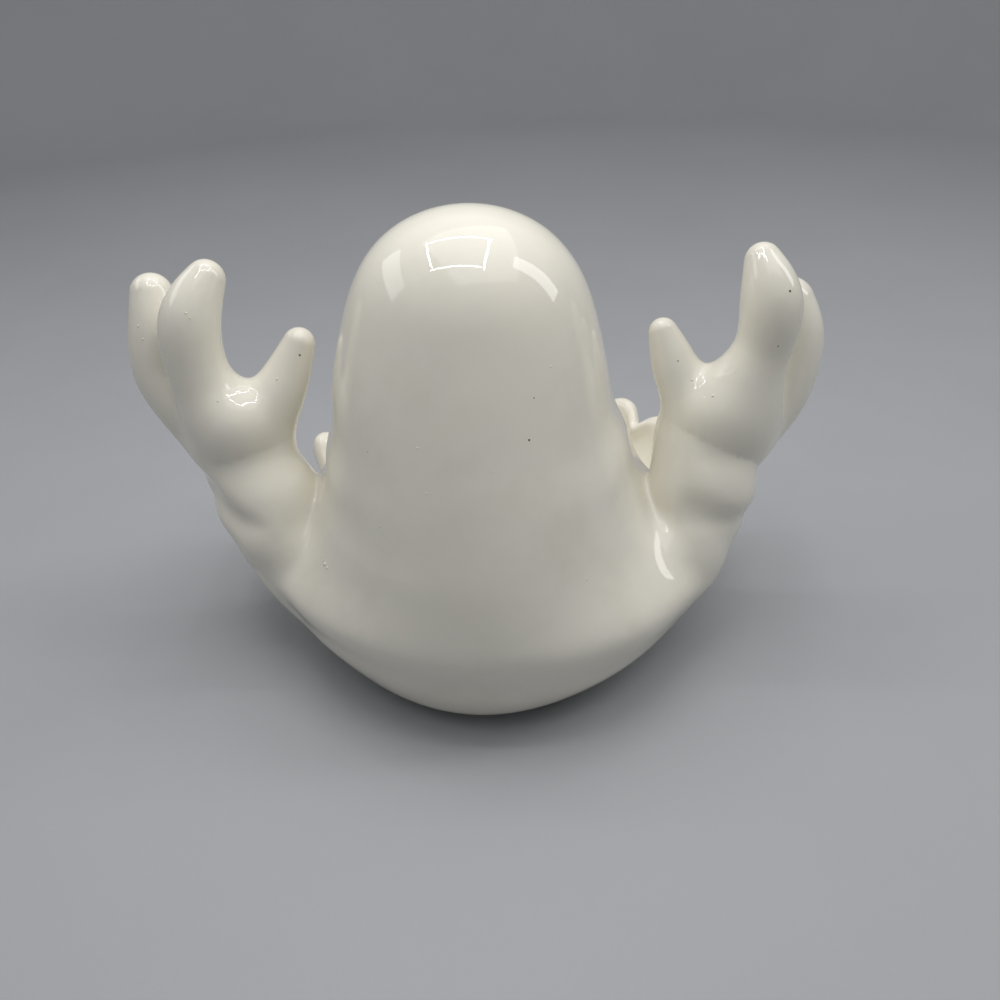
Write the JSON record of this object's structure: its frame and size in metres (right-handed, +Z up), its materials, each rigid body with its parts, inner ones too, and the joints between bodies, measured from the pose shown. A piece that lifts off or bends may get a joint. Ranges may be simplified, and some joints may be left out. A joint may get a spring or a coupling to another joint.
{
  "type": "ghost figure treat dish",
  "caption": "Glazed ceramic ghost with raised hands whose sheet spreads into a round treat dish with a ruffled rim.",
  "frame": {"origin": "centre of the foot disc's lower face, on the bowl's axis and on the table", "axes": "+Z up along the bowl's axis, -Y towards the side that the face looks to, +X towards the ghost's left hand"},
  "size_m": [0.3616, 0.272, 0.23],
  "materials": {
    "white_glaze": "gloss",
    "black_glaze": "gloss",
    "bare_clay": "matte"
  },
  "bodies": {
    "root": {"body_shell": "white_glaze", "base_bowl": "white_glaze", "foot": "bare_clay", "left_arm": "white_glaze", "right_arm": "white_glaze", "left_hand": "white_glaze", "right_hand": "white_glaze", "left_eye": "black_glaze", "right_eye": "black_glaze", "mouth": "black_glaze"}
  },
  "joints": []
}
